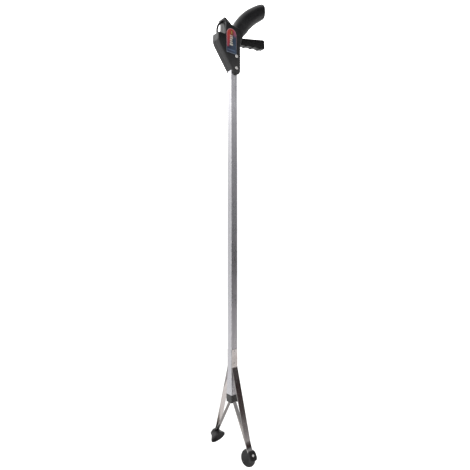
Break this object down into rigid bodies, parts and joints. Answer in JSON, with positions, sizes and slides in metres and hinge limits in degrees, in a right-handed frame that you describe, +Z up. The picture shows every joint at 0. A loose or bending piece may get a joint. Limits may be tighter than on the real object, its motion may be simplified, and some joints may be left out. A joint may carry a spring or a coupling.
{
  "type": "reacher grabber",
  "caption": "Long reacher grabber with a pistol grip and squeeze trigger that closes two sprung steel bands with rubber cups at the end of an aluminium tube.",
  "frame": {"origin": "where a hook bears inside the hang loop at the top of the handle", "axes": "+Z up along the tube, +X from the tube towards the end of the grip, -Y towards the label side; the jaws open along Y"},
  "size_m": [0.1016, 0.1114, 0.7527],
  "materials": {
    "handle_plastic": "fine moulded grain",
    "loop_plastic": "smooth moulded",
    "trigger_plastic": "fine moulded grain",
    "block_plastic": "moulded",
    "tube_aluminium": "anodised, drawn lengthways",
    "band_steel": "polished spring steel",
    "strip_steel": "polished spring steel",
    "rod_steel": "drawn wire",
    "pin_steel": "turned",
    "rivet_steel": "zinc plated, domed",
    "screw_steel": "zinc plated",
    "washer_steel": "zinc plated",
    "cup_rubber": "matt",
    "label_film": null
  },
  "bodies": {
    "frame": {"handle_shell_near": "handle_plastic", "handle_shell_far": "handle_plastic", "hang_loop": "loop_plastic", "label": "label_film", "handle_rivet_upper": "rivet_steel", "handle_rivet_lower": "rivet_steel", "grip_screw_outer": "screw_steel", "grip_screw_inner": "screw_steel", "trigger_pivot_pin": "pin_steel", "tube": "tube_aluminium", "guide_block": "block_plastic", "band_tab_near": "band_steel", "band_tab_far": "band_steel", "band_rivet_upper": "rivet_steel", "band_rivet_lower": "rivet_steel"},
    "trigger": {"trigger": "trigger_plastic", "link_pin": "pin_steel"},
    "pull_rod": {"pull_rod": "rod_steel", "pull_yoke": "rod_steel"},
    "jaw_near": {"jaw_band_near": "band_steel", "strip_foot_near": "strip_steel", "cup_near": "cup_rubber", "cup_washer_near": "washer_steel", "cup_rivet_near": "rivet_steel"},
    "jaw_far": {"jaw_band_far": "band_steel", "strip_foot_far": "strip_steel", "cup_far": "cup_rubber", "cup_washer_far": "washer_steel", "cup_rivet_far": "rivet_steel"},
    "strip_near": {"inner_strip_near": "strip_steel"},
    "strip_far": {"inner_strip_far": "strip_steel"}
  },
  "joints": [
    {"name": "trigger_hinge", "type": "hinge", "parent": "frame", "child": "trigger", "pos_m": [-0.003, 0, -0.0276], "axis": [0, -1, 0], "range_deg": [0, 12], "stiffness_Nm_per_rad": 5, "springref_deg": -2.86},
    {"name": "rod_slide", "type": "slide", "parent": "frame", "child": "pull_rod", "axis": [0, 0, 1], "range_m": [0, 0.0049]},
    {"name": "jaw_near_bend", "type": "hinge", "parent": "frame", "child": "jaw_near", "pos_m": [0.0236, -0.0056, -0.5506], "axis": [1, 0, 0], "range_deg": [0, 13.92]},
    {"name": "jaw_far_bend", "type": "hinge", "parent": "frame", "child": "jaw_far", "pos_m": [0.0236, 0.0056, -0.5506], "axis": [-1, 0, 0], "range_deg": [0, 13.92]},
    {"name": "strip_near_bend", "type": "hinge", "parent": "jaw_near", "child": "strip_near", "pos_m": [0.0236, -0.03966, -0.66592], "axis": [1, 0, 0], "range_deg": [0, 9.58]},
    {"name": "strip_far_bend", "type": "hinge", "parent": "jaw_far", "child": "strip_far", "pos_m": [0.0236, 0.03966, -0.66592], "axis": [-1, 0, 0], "range_deg": [0, 9.58]}
  ],
  "couplings": [
    {"joint": "rod_slide", "follows": "trigger_hinge", "m_per_rad": 0.023229},
    {"joint": "jaw_near_bend", "follows": "trigger_hinge", "ratio": 1.157},
    {"joint": "strip_near_bend", "follows": "trigger_hinge", "ratio": 0.7946},
    {"joint": "jaw_far_bend", "follows": "trigger_hinge", "ratio": 1.157},
    {"joint": "strip_far_bend", "follows": "trigger_hinge", "ratio": 0.7946}
  ]
}
